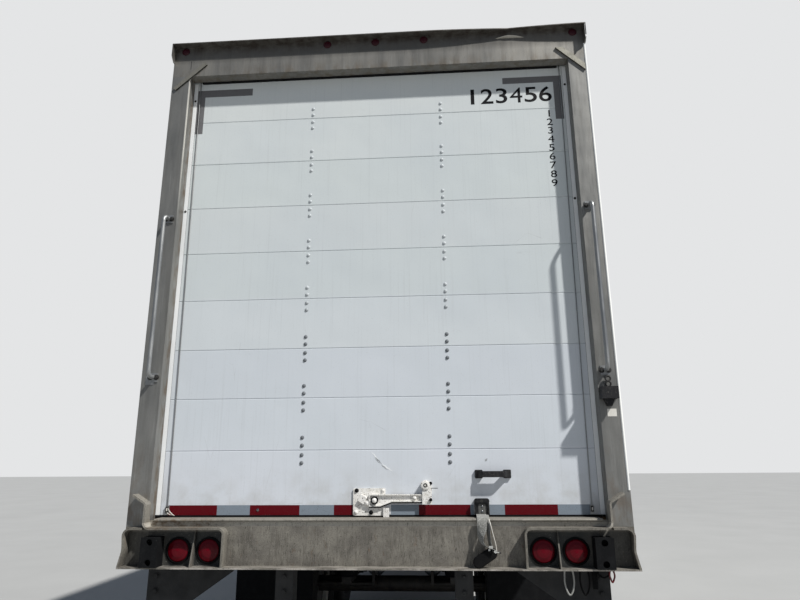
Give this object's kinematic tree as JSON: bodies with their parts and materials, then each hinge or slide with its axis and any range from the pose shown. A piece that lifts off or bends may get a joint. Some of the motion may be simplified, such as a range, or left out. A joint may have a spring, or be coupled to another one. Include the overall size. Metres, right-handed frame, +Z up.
{
  "type": "semi-trailer",
  "caption": "Long enclosed box semi-trailer with a roll-up rear door, sliding tandem bogie on twin wheels, landing legs and a kingpin coupler.",
  "frame": {"origin": "on the ground under the middle of the trailer's length and width", "axes": "+X to the right seen from behind, +Y forward to the nose, +Z up"},
  "size_m": [2.6096, 16.208, 4.115],
  "materials": {
    "white_panel": "gloss baked white over thin sheet",
    "white_door": "white faced door panels, slightly cool",
    "white_roof": "weathered white sheet",
    "floor_boards": "laminated hardwood",
    "aluminium_rail": "mill finish extrusion",
    "beam_paint": "dull chassis coating",
    "frame_steel": "stained stainless sheet",
    "sill_steel": "dirty galvanised plate",
    "galvanised_steel": "zinc coated",
    "guard_paint": "grey-black chassis paint",
    "red_lens": "moulded red lens",
    "amber_lens": "moulded amber lens",
    "black_rubber": "moulded rubber",
    "black_plastic": "moulded plastic",
    "latch_paint": "worn white paint over steel",
    "webbing": "woven strap",
    "coupler_steel": "greased bare steel",
    "black_chassis": "black chassis paint",
    "cast_aluminium": "cast",
    "tyre_rubber": "tyre rubber",
    "wheel_paint": "white powder coat"
  },
  "bodies": {
    "trailer": {"side_walls": "white_panel", "front_wall": "white_panel", "nose_corner_posts": "aluminium_rail", "roof": "white_roof", "floor": "floor_boards", "bottom_rails": "aluminium_rail", "top_rails": "aluminium_rail", "nose_rails": "aluminium_rail", "floor_beams": "beam_paint", "rear_posts": "frame_steel", "rear_header": "frame_steel", "rear_sill": "sill_steel", "rear_lamps": "red_lens", "lamp_grommets": "black_rubber", "dock_bumpers": "black_rubber", "corner_bars": "frame_steel", "grab_rails": "galvanised_steel", "guard_posts": "guard_paint", "guard_bar": "guard_paint", "door_panels": "white_door", "door_seal": "black_rubber", "door_cables": "galvanised_steel", "door_handle": "black_plastic", "door_latch": "latch_paint", "strap_bracket": "galvanised_steel", "pull_strap": "webbing", "coupler_plate": "coupler_steel", "kingpin": "coupler_steel", "coupler_beams": "beam_paint", "landing_legs": "black_chassis", "landing_feet": "black_chassis", "landing_drive": "black_chassis", "nose_connections": "cast_aluminium", "amber_lamps": "amber_lens", "slide_rails": "beam_paint", "post_box": "black_plastic", "strap_grip": "black_rubber"},
    "bogie": {"bogie_frame": "black_chassis", "trailing_arms": "black_chassis", "air_springs": "black_rubber", "axles": "black_chassis", "brake_chambers": "galvanised_steel", "air_tanks": "black_chassis", "mud_flaps": "black_rubber", "shock_absorbers": "black_chassis"},
    "wheel_front_left": {"tyres_front_left": "tyre_rubber", "wheels_front_left": "wheel_paint"},
    "wheel_front_right": {"tyres_front_right": "tyre_rubber", "wheels_front_right": "wheel_paint"},
    "wheel_rear_left": {"tyres_rear_left": "tyre_rubber", "wheels_rear_left": "wheel_paint"},
    "wheel_rear_right": {"tyres_rear_right": "tyre_rubber", "wheels_rear_right": "wheel_paint"}
  },
  "joints": [
    {"name": "bogie_slide", "type": "slide", "parent": "trailer", "child": "bogie", "axis": [0, 1, 0], "range_m": [0, 2.438]},
    {"name": "wheel_front_left_spin", "type": "hinge", "parent": "bogie", "child": "wheel_front_left", "pos_m": [-0.984, -4.3565, 0.505], "axis": [1, 0, 0], "continuous": true},
    {"name": "wheel_front_right_spin", "type": "hinge", "parent": "bogie", "child": "wheel_front_right", "pos_m": [0.984, -4.3565, 0.505], "axis": [1, 0, 0], "continuous": true},
    {"name": "wheel_rear_left_spin", "type": "hinge", "parent": "bogie", "child": "wheel_rear_left", "pos_m": [-0.984, -5.6015, 0.505], "axis": [1, 0, 0], "continuous": true},
    {"name": "wheel_rear_right_spin", "type": "hinge", "parent": "bogie", "child": "wheel_rear_right", "pos_m": [0.984, -5.6015, 0.505], "axis": [1, 0, 0], "continuous": true}
  ]
}
